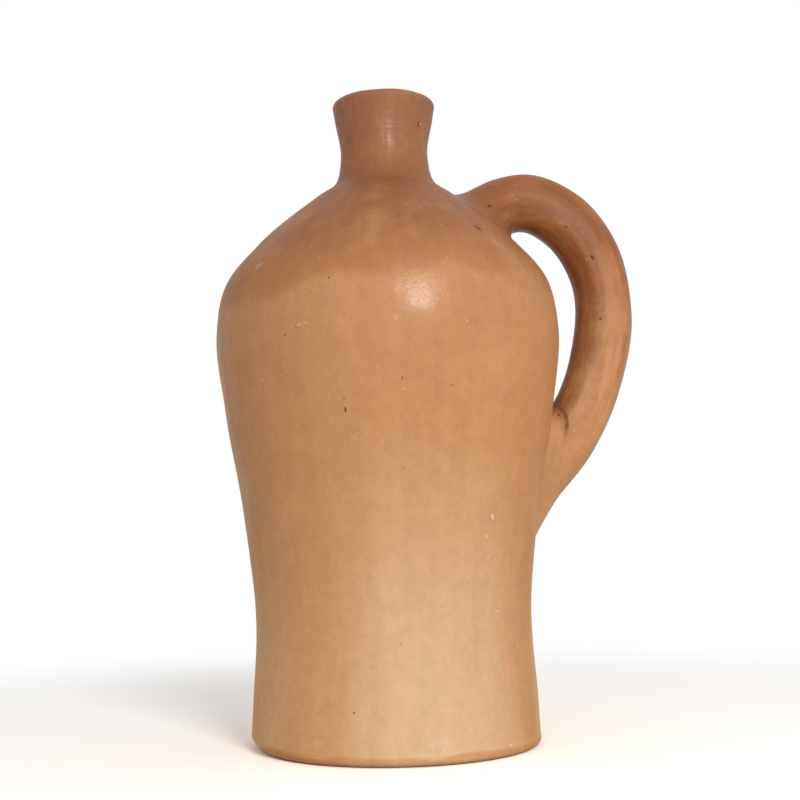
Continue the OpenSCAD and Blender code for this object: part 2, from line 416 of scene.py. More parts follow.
# %% The stroke group
stroke_group, given, wanted = group("burnish", [("Lay", "Vector"), ("Place", "Vector")],
                                    [("Height", "Float"), ("Shine", "Float")])
t = stroke_group
facets = rough(t, given["Lay"], 105.0, 1.0)
drags = rough(t, given["Lay"], 420.0, 2.0)
rings = rough(t, vectors(t, "MULTIPLY", given["Place"], (12, 12, 420)), 1.0, 3.0, 0.6)
FACET_DEPTH, DRAG_DEPTH, RING_DEPTH_LOW, RING_DEPTH_NECK = 0.34, 0.05, 0.02, 0.3
ring_depth = window(t, height_of(t, given["Place"]), 0.285, 0.31, RING_DEPTH_LOW, RING_DEPTH_NECK)
relief = maths(t, "MULTIPLY_ADD", facets, FACET_DEPTH, maths(t, "MULTIPLY", drags, DRAG_DEPTH))
relief = maths(t, "MULTIPLY_ADD", rings, ring_depth, relief)
t.links.new(relief, wanted["Height"])
t.links.new(window(t, rough(t, given["Lay"], 190.0, 3.0), 0.35, 0.7), wanted["Shine"])
print("Stroke group:", len(t.nodes), "nodes")

# %% [markdown]
# The clay itself is gritty: a fine tooth, pin holes where a grain fell out, and pale grains
# that show in the skin. Scattered cells of a Voronoi texture give dots of even size, and a
# cloud or a random colour of the cell picks a few of them, so that they don't form a grid.

# %% The grit group
grit_group, given, wanted = group("grit", [("Place", "Vector")],
                                  [("Height", "Float"), ("Speck", "Float"), ("Fleck", "Float")])
t = grit_group
tooth = rough(t, given["Place"], 1500.0, 3.0, 0.6)
skin_waves = rough(t, given["Place"], 330.0, 3.0)
cells = put(t, "TexVoronoi", None, Vector=given["Place"], Scale=170.0)
few = window(t, rough(t, given["Place"], 60.0), 0.55, 0.6)
pin = maths(t, "MULTIPLY", window(t, cells.outputs["Distance"], 0.1, 0.03), few)
elsewhere = vectors(t, "ADD", given["Place"], (5, 5, 5))
grains = put(t, "TexVoronoi", None, Vector=elsewhere, Scale=210.0)
lot = put(t, "SeparateXYZ", None, Vector=grains.outputs["Color"]).outputs["X"]
fleck = maths(t, "MULTIPLY", window(t, grains.outputs["Distance"], 0.12, 0.04),
              window(t, lot, 0.8, 0.85))
TOOTH_DEPTH, WAVE_DEPTH, PIN_DEPTH = 0.09, 0.22, 0.08
relief = maths(t, "MULTIPLY_ADD", tooth, TOOTH_DEPTH, maths(t, "MULTIPLY", skin_waves, WAVE_DEPTH))
t.links.new(fleck, wanted["Fleck"])
t.links.new(maths(t, "MULTIPLY_ADD", pin, -PIN_DEPTH, relief), wanted["Height"])
t.links.new(pin, wanted["Speck"])
print("Grit group:", len(t.nodes), "nodes")

# %% [markdown]
# ### Chips, pits and scratches
#
# A used jar has a few marks that a viewer remembers: a pit on the belly, pale chips low on
# the flank, a nick in the neck. Each is one entry of a list: what it is, its bearing round
# the jar, its height, its width and height, and its slant. Each becomes a soft oval in the
# clay. Scattering them with random numbers would be shorter, but nobody remembers such marks.

# %% The list of marks
# kind, bearing in degrees from +X, height, half the width and half the tallness in mm, slant
marks = [
    ("pit", -111.6, 171.7, 0.5, 1.6, 0), ("pit", -50.0, 331.6, 0.6, 1.7, 0),
    ("chip", -47.4, 332.0, 0.45, 0.9, 0), ("fleck", -68.0, 305.3, 0.8, 0.5, -30),
    ("pit", -56.3, 266.0, 2.4, 1.0, -38), ("fleck", -115.7, 236.0, 0.5, 0.7, 0),
    ("fleck", -130.6, 209.6, 0.7, 0.6, 0), ("fleck", -126.4, 212.9, 0.6, 0.5, 0),
    ("chip", -125.6, 213.9, 2.6, 0.25, 25), ("chip", -122.9, 214.6, 2.6, 0.2, -14),
    ("chip", -141.9, 189.3, 0.5, 0.6, 0), ("smear", -145.8, 248.1, 3.5, 2.2, 20),
    ("chip", -95.4, 215.1, 1.8, 0.25, -58), ("chip", -94.6, 215.4, 1.3, 0.2, -52),
    ("chip", -100.6, 191.8, 0.4, 0.5, 0),
    ("fleck", -93.4, 185.9, 0.4, 0.8, 20), ("chip", -92.7, 180.8, 0.6, 0.4, -40),
    ("fleck", -77.4, 182.6, 1.0, 0.35, 15), ("fleck", -111.9, 177.0, 0.35, 0.5, 0),
    ("chip", -73.0, 214.0, 0.4, 0.5, 0), ("chip", -58.0, 118.7, 1.0, 1.7, 15),
    ("chip", -60.3, 109.1, 0.8, 1.0, 0), ("chip", -58.9, 98.8, 0.7, 0.9, 0),
    ("chip", -52.5, 71.6, 0.8, 0.9, 0), ("chip", -50.6, 75.2, 0.5, 0.6, 0),
    ("chip", -53.0, 45.6, 0.3, 4.5, 12), ("fleck", -113.0, 25.9, 0.6, 0.6, 0),
    ("chip", -80.4, 7.6, 0.9, 0.7, 0), ("chip", -50.0, 5.9, 1.2, 0.8, 0),
    ("smear", -127.4, 11.1, 4.0, 2.0, 0), ("smear", -81.8, 10.5, 9.0, 2.6, 5),
]
# the same on the handle: x, y and z in mm in place of bearing and height
grip_marks = [
    ("pit", 54.4, -20.1, 286.9, 1.5, 0.9, -30), ("pit", 98.6, -13.8, 277.1, 0.6, 0.6, 0),
    ("pit", 112.6, -14.1, 260.0, 1.6, 0.8, -50), ("fleck", 115.5, -13.5, 234.5, 0.5, 0.5, 0),
    ("pit", 116.1, -13.7, 225.7, 0.8, 0.5, 0), ("fleck", 91.0, -12.0, 173.3, 0.7, 1.0, 0),
]
# how much of a pit, of a pale spot and of a dark spot each kind is
LOOKS = {"pit": (1, 0, 0), "chip": (0.25, 1, 0), "fleck": (0.2, 0, 1), "smear": (0, 0.13, 0)}
print(len(marks), "marks on the body and", len(grip_marks), "on the handle")

# %% The ovals of the marks
marks_group, given, wanted = group("marks", [("Place", "Vector")],
                                   [("Pit", "Float"), ("Pale", "Float"), ("Dark", "Float"),
                                    ("Gleam", "Float")])
t = marks_group


def jittered(scale, push, detail=2.0):
    """The place, moved about by noise, so that outlines drawn with it come out frayed."""
    clouds = put(t, "TexNoise", None, Vector=given["Place"], Scale=scale, Detail=detail)
    about_zero = vectors(t, "SUBTRACT", clouds.outputs["Color"], (0.5, 0.5, 0.5))
    moved = put(t, "VectorMath", {"operation": "SCALE"}, n0=about_zero, Scale=push)
    return vectors(t, "ADD", given["Place"], moved.outputs["Vector"])


def on_skin(bearing, z):
    """Point of the body's skin at a bearing in degrees and a height in mm."""
    r, a = radius_at(z * MM), radians(bearing)
    return r * cos(a), r * sin(a), z * MM


MARK_DEPTH = 4 * MM
frayed = jittered(900.0, 1.1 * MM)
sums = [0.0, 0.0, 0.0]
spots = [(kind, on_skin(a, z), radians(a), *rest) for kind, a, z, *rest in marks]
spots += [(kind, (x * MM, y * MM, z * MM), -pi / 2, *rest) for kind, x, y, z, *rest in grip_marks]
for kind, at, turn, width, tall, slant in spots:
    oval = put(t, "Mapping", {"vector_type": "TEXTURE"}, Vector=frayed, Location=at,
               Rotation=(radians(slant), 0, turn), Scale=(MARK_DEPTH, width * MM, tall * MM))
    mask = window(t, vectors(t, "LENGTH", oval.outputs[0]), 1.0, 0.5)
    for i, weight in enumerate(LOOKS[kind]):
        if weight:
            sums[i] = maths(t, "MULTIPLY_ADD", mask, weight, sums[i])
for total, name in zip(sums, ("Pit", "Pale", "Dark")):
    t.links.new(total, wanted[name])
print(len(spots), "ovals in", len(t.nodes), "nodes")

# %% [markdown]
# Where the pebble went over the same place again and again, the clay has a tight gloss. A
# gloss all over would look glazed, so it is kept to a few patches with torn borders.

# %% The places that gleam
# bearing, height, half the width and half the tallness in mm, and strength
gleams = [(-87, 233, 21, 14, 1.0), (-89, 325, 5, 14, 0.7), (146, 231, 24, 15, 0.3),
          (60, 232, 20, 14, 0.3)]
GLEAM_DEPTH = 30 * MM
gleam = 0.0
torn = jittered(55.0, 30 * MM, 4.0)
for bearing, z, width, tall, strength in gleams:
    oval = put(t, "Mapping", {"vector_type": "TEXTURE"}, Vector=torn, Location=on_skin(bearing, z),
               Rotation=(0, 0, radians(bearing)), Scale=(GLEAM_DEPTH, width * MM, tall * MM))
    patch = window(t, vectors(t, "LENGTH", oval.outputs[0]), 1.2, 0.4, 0.0, strength)
    gleam = maths(t, "ADD", gleam, patch)
t.links.new(gleam, wanted["Gleam"])
print(len(gleams), "places gleam")

# %% [markdown]
# ### The five finishes
#
# All slots wire up the same groups. They differ in how glossy the burnish came out: the foot
# was hardly rubbed, and hands have polished the handle. The strokes run up and down on the
# body and along the grip on the handle, so the handle's meshes carry their own unrolled
# coordinates in an attribute. A second attribute says how far a point has left the body, and
# a third one how much dirt and painted shade lie in a fold.

# %% Materials
BODY_R, GRIP_R = 0.09, 14.5 * MM
# heights are squeezed by this much, which makes the strokes about eight times as tall as wide
SQUEEZE = 0.12
CLAY_IOR, CLAY_SPECULAR, GLOSS_ROUGHNESS = 1.45, 0.16, 0.25
GLEAM_WEIGHT, PIT_DEPTH = 0.6, 0.35
PIN_SHADE, FLECK, GRIME_AND_SHADE = srgb(120, 74, 46), srgb(236, 200, 156), srgb(116, 62, 34)
PALE_SPOT, DARK_SPOT, PIT_SHADE = srgb(252, 238, 212), srgb(112, 66, 40), srgb(98, 56, 34)


def finish_of(slot, roughness, shine, relief, polish):
    """One slot's fired clay. Shine is how far polished strokes drop the roughness, and
    polish how much of the tight gloss of the pebble lies on top."""
    material = bpy.data.materials.new(slot)
    material.use_nodes = True
    t = material.node_tree
    shader = t.nodes["Principled BSDF"]
    place = put(t, "TexCoord").outputs["Object"]
    off = put(t, "Attribute", {"attribute_name": "off_body"}).outputs["Fac"]
    own = put(t, "Attribute", {"attribute_name": "lay"}).outputs["Vector"]
    flat = vectors(t, "NORMALIZE", vectors(t, "MULTIPLY", place, (1, 1, 0)))
    round_body = vectors(t, "ADD", vectors(t, "MULTIPLY", flat, (BODY_R, BODY_R, 0)),
                         vectors(t, "MULTIPLY", place, (0, 0, SQUEEZE)))
    lay = put(t, "Mix", {"data_type": "VECTOR"}, n0=window(t, off, 0.45, 0.55), n4=round_body,
              n5=own).outputs[1]
    tone = use(t, colour_group, Place=place, Lay=lay, Off_body=off)["Color"]
    strokes = use(t, stroke_group, Lay=lay, Place=place)
    grit = use(t, grit_group, Place=place)
    scars = use(t, marks_group, Place=place)
    # painted shade: the pin holes are darkened, standing in for the shade inside them
    tone = blend(t, maths(t, "MULTIPLY", grit["Speck"], 0.5), tone, PIN_SHADE)
    tone = blend(t, maths(t, "MULTIPLY", grit["Fleck"], 0.45), tone, FLECK)
    tone = blend(t, scars["Pale"], tone, PALE_SPOT)
    tone = blend(t, scars["Dark"], tone, DARK_SPOT)
    # painted shade: the pits are darkened, standing in for the shade inside them
    tone = blend(t, scars["Pit"], tone, PIT_SHADE)
    grime_and_shade = put(t, "Attribute", {"attribute_name": "grime_and_shade"}).outputs["Fac"]
    # dirt and painted shade: the fold's crease and the corner under the finger gap are darkened
    tone = blend(t, maths(t, "MULTIPLY", grime_and_shade, 0.85), tone, GRIME_AND_SHADE)
    # the two sets of coordinates meet halfway along a root, so the strokes fade out there
    seam = window(t, maths(t, "ABSOLUTE", maths(t, "SUBTRACT", off, 0.5)), 0.0, 0.5)
    relief_mm = maths(t, "MULTIPLY", strokes["Height"], seam)
    relief_mm = maths(t, "ADD", relief_mm, grit["Height"])
    relief_mm = maths(t, "MULTIPLY_ADD", scars["Pit"], -PIT_DEPTH, relief_mm)
    bump = put(t, "Bump", None, Height=relief_mm, Strength=relief, Distance=MM)
    t.links.new(tone, shader.inputs["Base Color"])
    t.links.new(bump.outputs[0], shader.inputs["Normal"])
    t.links.new(maths(t, "MULTIPLY_ADD", strokes["Shine"], -shine, roughness),
                shader.inputs["Roughness"])
    shader.inputs["IOR"].default_value = CLAY_IOR
    shader.inputs["Specular IOR Level"].default_value = CLAY_SPECULAR
    t.links.new(maths(t, "MULTIPLY_ADD", scars["Gleam"], GLEAM_WEIGHT, polish),
                shader.inputs["Coat Weight"])
    shader.inputs["Coat Roughness"].default_value = GLOSS_ROUGHNESS
    t.links.new(bump.outputs[0], shader.inputs["Coat Normal"])
    return material


# each slot's roughness, shine, relief and polish
BURNISH = {
    "foot_clay": (0.62, 0.08, 0.8, 0.03),
    "belly_clay": (0.58, 0.10, 1.0, 0.05),
    "shoulder_clay": (0.58, 0.10, 1.0, 0.05),
    "neck_clay": (0.56, 0.08, 1.0, 0.05),
    "handle_clay": (0.50, 0.10, 1.0, 0.08),
}
finishes = {slot: finish_of(slot, *values) for slot, values in BURNISH.items()}
print("Finishes:", ", ".join(finishes))

# %% [markdown]
# ## The thrown members
#
# A member of the body is a closed outline spun once round the axis, the way a template
# turns clay on the wheel. A lathe of the whole jar would be simpler, but the real seams
# would be lost: each member ends in a slanted scarf inside the wall. A hair-thin row of faces
# at each seam keeps the shading of two neighbours the same.

# %% Tools for spun members
SEGMENTS, NECK_SEGMENTS = 384, 256
HAIR = 0.15 * MM
# the rings that the fingers left inside: how deep and how far apart
RING_DEPTH, RING_PITCH = 0.45 * MM, 9 * MM
INNER_STEP = 2.2 * MM


def rows(start, end, step):
    """Places on the outline about one step apart, with a hair-thin row at both ends."""
    places = [start]
    while places[-1] < end:
        low = places[-1]
        high = min(int(low + 1e-9) + 1, end)
        count = ceil((skin(high) - skin(low)).length / step)
        places += [low + (high - low) * (i + 1) / count for i in range(count)]
    hair = HAIR / (skin(start + 0.05) - skin(start)).length * 0.05
    return [start, start + hair] + places[1:-1] + [end - hair, end]


def thrown(t):
    """A point inside the wall, with the rings that the fingers left while throwing."""
    p = inside(t)
    return Vector((p.x + RING_DEPTH * sin(2 * pi * p.y / RING_PITCH), p.y))


def inner_rows(start, end):
    count = max(2, ceil(abs(skin(end).y - skin(start).y) / INNER_STEP))
    return [thrown(start + (end - start) * i / count) for i in range(count + 1)]


print("The outline would have", len(rows(0, LAST_KNOT, 1.6 * MM)), "rows from foot to rim")

# %% [markdown]
# Every piece is finished in the same way: it is pushed by the shared field, its normals are
# turned outwards, its clay is put on, and it takes the place of its CAD node. Smooth shading
# with sharp edges above 38 degrees keeps the seams inside the wall crisp.

# %% Finishing a piece
SHARP = radians(38)


def dress(name, bm, node, slot):
    """Makes a bmesh a finished piece in the place of one CAD node."""
    for v in bm.verts:
        v.co = uneven(v.co)
    bmesh.ops.recalc_face_normals(bm, faces=bm.faces)
    mesh = bpy.data.meshes.new(name)
    bm.to_mesh(mesh)
    bm.free()
    mesh.shade_smooth()
    mesh.set_sharp_from_angle(angle=SHARP)
    mesh.materials.append(finishes[slot])
    piece = bpy.data.objects.new(name, mesh)
    bpy.context.scene.collection.objects.link(piece)
    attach(piece, "root")
    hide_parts(node)
    size = [round(v / MM, 1) for v in piece.dimensions]
    print(name, "has", len(mesh.polygons), "faces and measures", size, "mm")


def spun(name, outline, node, slot, segments=SEGMENTS, closed=True):
    """A closed solid of revolution from an outline of radius and height."""
    bm = bmesh.new()
    line = [bm.verts.new((p[0], 0, p[1])) for p in outline]
    pairs = zip(line, line[1:] + line[:1]) if closed else zip(line, line[1:])
    edges = [bm.edges.new(pair) for pair in pairs]
    bmesh.ops.spin(bm, geom=line + edges, cent=(0, 0, 0), axis=(0, 0, 1), angle=2 * pi,
                   steps=segments, use_merge=True)
    bmesh.ops.remove_doubles(bm, verts=bm.verts, dist=1e-7)
    dress(name, bm, node, slot)


# %% [markdown]
# The base slab comes first. Its edge was rounded with a thumb where the wall was luted on,
# which left a faint, wandering crease on the outside between slab and wall.

# %% Base slab
# finger waves on the inside of the floor
FLOOR_WAVE = 0.3 * MM
edge = [Vector((foot_r - slab_t + slab_t * sin(a), slab_t - slab_t * cos(a)))
        for a in (radians(2.5 * i) for i in range(37))]
under = [Vector((edge[0].x * i / 14, 0)) for i in range(14)]
plug = [Vector(p) for p in ((plug_r, slab_t), (plug_r, floor_z - MM), (plug_r - MM, floor_z))]
floor = [Vector((plug_r * i / 16, floor_z + FLOOR_WAVE * cos(i * 2.2) - FLOOR_WAVE))
         for i in range(15, -1, -1)]
spun("base_slab_clay", under + edge + plug + floor, "base_slab", "foot_clay", closed=False)

# %% [markdown]
# The wall was thrown in two lifts, because wet clay can't stand much taller than a hand. Where
# the second lift was set on the first, both edges were cut slanted and rubbed together, so the
# inner end of each seam lies a third of a knot higher than the outer one.

# %% Wall of the foot and the waist
SCARF = 1 / 3
heel = [Vector((plug_r + 4.2 * MM, floor_z + 10 * MM)),
        Vector((plug_r + 2.4 * MM, floor_z + 3.5 * MM)), Vector((plug_r, floor_z)),
        Vector((plug_r, slab_t))]
outer = [skin(t) for t in rows(0, WAIST_SEAM, 1.6 * MM)]
spun("lower_wall_clay", outer + inner_rows(WAIST_SEAM + SCARF, 1.3) + heel,
     "lower_wall", "foot_clay")

# %% Wall of the belly
outer = [skin(t) for t in rows(WAIST_SEAM, BELLY_SEAM, 1.6 * MM)]
spun("belly_wall_clay", outer + inner_rows(BELLY_SEAM + SCARF, WAIST_SEAM + SCARF),
     "belly_wall", "belly_clay")

# %% [markdown]
# The shoulder closes the body. It was folded inwards on the wheel until only a round hole was
# left, and the hole's edge was trimmed to a flat seat for the neck.

# %% Shoulder
# where the shoulder's inner face is as narrow as its hole, counted in knots
plug_start = next(t / 60 for t in range(400, 600) if inside(t / 60).x < seat_r)
outer = [skin(t) for t in rows(BELLY_SEAM, NECK_SEAM, 1.4 * MM)]
seat = [Vector((seat_r, outer[-1].y)), Vector((seat_r, inside(plug_start).y))]
spun("shoulder_clay_dome", outer + seat + inner_rows(plug_start - 0.02, BELLY_SEAM + SCARF),
     "shoulder", "shoulder_clay")

# %% [markdown]
# The neck was thrown apart, set into the shoulder's hole and drawn up thin. Its throat is
# straight where a cork goes. The lip is a coil laid round the neck's edge and rolled smooth.

# %% Neck and lip
mouth = [Vector((throat_r, throat_top)), Vector((throat_r + 1.7 * MM, jar_h - 14 * MM)),
         Vector((lip_r - 2 * rim_r, jar_h - rim_r))]
flare = [curve(mouth, 2 - i / 12) for i in range(25)]
seam_z = skin(LIP_SEAM).y
collar_z = seam_z + collar_h
collar_in = min(flare, key=lambda p: abs(p.y - collar_z)).x
entry = [p for p in (inside(10 - i / 30) for i in range(61))
         if throat_r + 0.6 * MM < p.x < seat_r]
outer = [skin(t) for t in rows(NECK_SEAM, LIP_SEAM, 0.9 * MM)]
collar = [Vector((collar_r, seam_z)), Vector((collar_r, collar_z)), Vector((collar_in, collar_z))]
throat = [Vector((throat_r, throat_z + (throat_top - throat_z) * i / 12))
          for i in range(11, -1, -1)]
bore = [p for p in flare if p.y < collar_z - 0.5 * MM]
spun("neck_clay_throat",
     outer + collar + bore + throat + entry
     + [Vector((seat_r, entry[-1].y)), Vector((seat_r, outer[0].y))],
     "neck", "neck_clay", NECK_SEGMENTS)

rim_at = Vector((lip_r - rim_r, jar_h - rim_r))
rim = [rim_at + rim_r * Vector((cos(a), sin(a))) for a in (pi * i / 20 for i in range(1, 21))]
outer = [skin(t) for t in rows(LIP_SEAM, LAST_KNOT, 0.8 * MM)]
bore = [p for p in flare if collar_z + 0.5 * MM < p.y < rim_at.y - 0.1 * MM]
spun("lip_clay_coil",
     outer + rim + bore
     + [Vector((collar_in, collar_z)), Vector((collar_r, collar_z)), Vector((collar_r, seam_z))],
     "lip", "neck_clay", NECK_SEGMENTS)

# %% [markdown]
# ## The handle
#
# A handle is pulled from a lump of clay with wet fingers, so it is an oval bar that swells
# and thins smoothly. Twelve stations give its outer edge, its inner edge and its half width.
# A flat grid is bent round them: one side of the grid runs round the bar and the other along
# it. The grid's columns become the strokes' coordinates.

# %% Stations of the handle
GRIP_T = 31 * MM
HALF = GRIP_R / MM
# x and z of the outer edge, x and z of the inner edge, and half the width, all in mm
stations = [Vector(s) * MM for s in (
    (28, 292, 68, 262, 27), (42, 297.4, 66.5, 271.5, 21), (60, 305.6, 72, 276.2, 16),
    (80, 309.2, 80, 277, HALF), (108, 298.7, 93, 269, HALF), (129.5, 272, 103, 254.2, HALF),
    (reach / MM, 230, (reach - GRIP_T) / MM, 233, HALF), (130.8, 191, 101.8, 202.5, HALF),
    (112, 152.4, 89, 173, 16), (95, 133.8, 80, 155, 15), (84.5, 116.5, 72, 130, 11),
    (75, 98, 65, 100, 6))]
UPPER_CUT, LOWER_CUT = 2, 7.5
# how far from the inner edge, in degrees round the bar, the soft ridge of each side lies, half
# its width, and its height as a share of the bar's half thickness
RIDGE_AT, RIDGE_W, RIDGE_H = 66, 13, 0.045


def squared(x):
    """Pushes a cosine or sine outwards, which gives an oval flatter sides."""
    return abs(x) ** 0.86 * (1 if x > 0 else -1)


def grip(t, a):
    """Point of the handle's skin at station t, at the angle a from its outer edge."""
    ox, oz, ix, iz, half = curve(stations, t)
    beside = (abs(degrees(a) - 180) - RIDGE_AT) / RIDGE_W
    ridge = 1 + RIDGE_H * exp(-(beside ** 2)) * ease(t, 3, 5)
    c, s = squared(cos(a)) * ridge, squared(sin(a)) * ridge
    return Vector(((ox + ix + (ox - ix) * c) / 2, half * s, (oz + iz + (oz - iz) * c) / 2))


def run(t):
    """Length along the middle of the handle up to station t."""
    middles = [(grip(t * i / 40, 0) + grip(t * i / 40, pi)) / 2 for i in range(41)]
    return sum((b - a).length for a, b in zip(middles, middles[1:]))


print("The grip is", round((run(LOWER_CUT) - run(UPPER_CUT)) / MM), "mm long")

# %% Bending a grid into a tube
def bent(name, around, along, place, node, slot):
    """Bends a grid into a closed tube. place(angle, share) gives point, lay, off_body and dirt
    with painted shade.
    """
    bm = bmesh.new()
    lay = bm.verts.layers.float_vector.new("lay")
    off = bm.verts.layers.float.new("off_body")
    dirt_and_shade = bm.verts.layers.float.new("grime_and_shade")
    bmesh.ops.create_grid(bm, x_segments=around, y_segments=along, size=0.5)
    for v in bm.verts:
        share = round((v.co.y + 0.5) * along) / along
        v.co, v[lay], v[off], v[dirt_and_shade] = place(2 * pi * (v.co.x + 0.5), share)
    bmesh.ops.remove_doubles(bm, verts=bm.verts, dist=1e-6)
    ends = [e for e in bm.edges if e.is_boundary]
    bmesh.ops.holes_fill(bm, edges=ends, sides=0)
    dress(name, bm, node, slot)


def lay_of(a, length):
    """Unrolled coordinates on the bar, with the length squeezed as the body's height is."""
    return Vector((GRIP_R * cos(a), GRIP_R * sin(a), SQUEEZE * length))


def on_grip(a, share):
    t = UPPER_CUT + (LOWER_CUT - UPPER_CUT) * share
    return grip(t, a), lay_of(a, lengths[round(share * GRIP_ROWS)]), 1.0, 0.0


GRIP_SIDES, GRIP_ROWS = 104, 170
lengths = [run(UPPER_CUT + (LOWER_CUT - UPPER_CUT) * i / GRIP_ROWS)
           for i in range(GRIP_ROWS + 1)]
bent("handle_grip", GRIP_SIDES, GRIP_ROWS, on_grip, "handle", "handle_clay")

# %% [markdown]
# ## The roots
#
# The potter presses each end onto the wall and smears the clay outwards until no edge is
# left. So a root is a loft: from every point of the handle's last ring a line leaves along
# the grip and arrives flat on the wall, at a line drawn round the joint. Near that line it
# dips a hair under the wall's skin, so the clay feathers out instead of ending in a step.

# %% Lofting a root onto the wall
# the clay lies this many mm over the skin near the grip, and this many under it at its border
OVER, UNDER = 0.72, 0.18


def on_wall(z, y):
    """Point of the body's skin on the handle's side."""
    r = radius_at(z)
    return Vector((sqrt(max(r * r - y * y, 0)), y, z))


def loft(cut, way, out_z, mid_z, in_z, half, taper, land, press):
    """Returns place() for a root that leaves the grip at the station cut. out_z, mid_z and in_z
    are the heights of its border on the wall, half is half its width there and taper narrows
    its outer end. land says how long a line runs flat along the wall, and press(point, angle)
    gives how deep the thumb pressed there and how much dirt and painted shade it gets."""
    start = run(cut)

    def place(a, share):
        f = min(share / 0.97, 1)
        c, s = cos(a), sin(a)
        z = mid_z + c * (out_z - mid_z) if c > 0 else mid_z - c * (in_z - mid_z)
        y = half * s * (1 - taper * max(c, 0))
        goal = on_wall(z, y)
        first = grip(cut, a)
        leave = (grip(cut + way * 0.05, a) - first).normalized()
        out = goal - on_wall(mid_z, 0)
        wall = Vector((goal.x, goal.y, 0)).normalized()
        steep = (radius_at(z + MM) - radius_at(z - MM)) / (2 * MM)
        normal = (wall - Vector((0, 0, steep))).normalized()
        arrive = (out - normal * out.dot(normal)).normalized()
        d = (goal - first).length
        p = (first * (1 + f * f * (2 * f - 3)) + leave * (d * f * (1 - f) ** 2)
             + goal * (f * f * (3 - 2 * f)) - arrive * (d * land * f * f * (1 - f)))
        middle = (grip(cut, 0) + grip(cut, pi)) / 2 * (1 - f) + on_wall(mid_z, 0) * f
        depth, grime_and_shade = press(p, a)
        p += (middle - p).normalized() * depth
        least = radius_at(p.z) + ((OVER + UNDER) * (1 - f) - UNDER) * MM
        r = hypot(p.x, p.y)
        if r < least:
            p.x, p.y = p.x * least / r, p.y * least / r
        if share == 1:
            p = goal - normal * 1.6 * MM
        return p, lay_of(a, start + way * d * f), 1 - ease(f, 0.25, 0.85), grime_and_shade

    return place


def no_press(p, a):
    return 0.0, 0.0


bent("upper_root_smear", 144, 70,
     loft(UPPER_CUT, -1, 298 * MM, 281 * MM, 264.5 * MM, 31 * MM, 0.2, 0.9, no_press),
     "upper_root", "handle_clay")

# %% [markdown]
# At the lower root the clay was folded rather than smeared away: a crease starts in the finger
# gap and runs down the side, and the thumb left a hollow above the end of the tail. Dirt sits in
# the crease, and painted shade darkens it and the corner under the finger gap. The loft lets a
# function press every point in, so the fold needs no mesh of its own, and the same function
# says how much dirt and painted shade a point gets.

# %% The fold of the lower root
# x and z of the crease's bends, from the finger gap down
crease_line = [Vector(p) * MM for p in ((92.5, 177.5), (94.2, 173.5), (94.8, 168.5), (94.3, 163),
                                        (92.3, 156))]
# the corner under the finger gap, the hollow above the tail's end and the swelling over it
GAP_CORNER = Vector((91, 180)) * MM
HOLLOW_Z, SWELL_Z = 126 * MM, 150 * MM


def off_line(p):
    """Distance of a point from the crease, seen from the side of the jar."""
    p = Vector((p.x, p.z))
    nearest = 1.0
    for a, b in zip(crease_line, crease_line[1:]):
        share = min(max((p - a).dot(b - a) / (b - a).length_squared, 0), 1)
        nearest = min(nearest, (p - a.lerp(b, share)).length)
    return nearest


def fold(p, a):
    """How deep the clay is folded in at the crease and above the tail's end, and its dirt and
    painted shade.
    """
    d = off_line(p) / MM
    near = 1 - ease(p.y, -3 * MM, 3 * MM)
    fades = ease(p.z, 154 * MM, 168 * MM) * (1 - 0.7 * ease(p.z, 172 * MM, 178 * MM))
    crease = exp(-(d ** 2)) * near * fades
    corner = hypot(p.x - GAP_CORNER.x, p.z - GAP_CORNER.y) / (6 * MM)
    # dirt in the crease, and painted shade in it and in the corner under the finger gap
    grime_and_shade = (0.7 * exp(-((d / 0.8) ** 2)) + 0.4 * exp(-((d / 3) ** 2))) * near * fades
    grime_and_shade = min(grime_and_shade + 0.75 * exp(-(corner ** 2)), 1) * (0.75 + 0.5 * noise.noise(p * 500))
    hollow = exp(-(((p.z - HOLLOW_Z) / (9 * MM)) ** 2)) * max(cos(a), 0)
    swell = exp(-(((p.z - SWELL_Z) / (10 * MM)) ** 2)) * max(cos(a), 0)
    return (1.2 * crease + 1.7 * hollow - 0.9 * swell) * MM, max(grime_and_shade, 0)


bent("lower_root_smear", 160, 110,
     loft(LOWER_CUT, 1, 100 * MM, 153 * MM, 177 * MM, 23.5 * MM, 0.3, 0.45, fold),
     "lower_root", "handle_clay")

# %% [markdown]
# ## Floor, light and camera
#
# The jar stands on a wide round floor. It is white to the eye but keeps the jar's shadow, and
# further out it glows as white as the background, so no horizon shows. Rays that light the
# jar see a plainer floor, because a floor that bright would light it from below.

# %% Floor
FLOOR_R, FLOOR_Z = 3.0, -0.2 * MM
FLOOR_LIGHTING, FLOOR_SEEN = (0.72, 0.70, 0.67, 1), (1.6, 1.6, 1.6, 1)
FLOOR_GLOW = (1, 1, 1, 1)


def looked_at(tree):
    """1 for rays that look at a thing: straight, in a reflection or through glass."""
    rays = put(tree, "LightPath").outputs
    return maths(tree, "MAXIMUM", rays["Is Camera Ray"],
                 maths(tree, "MAXIMUM", rays["Is Glossy Ray"], rays["Is Transmission Ray"]))


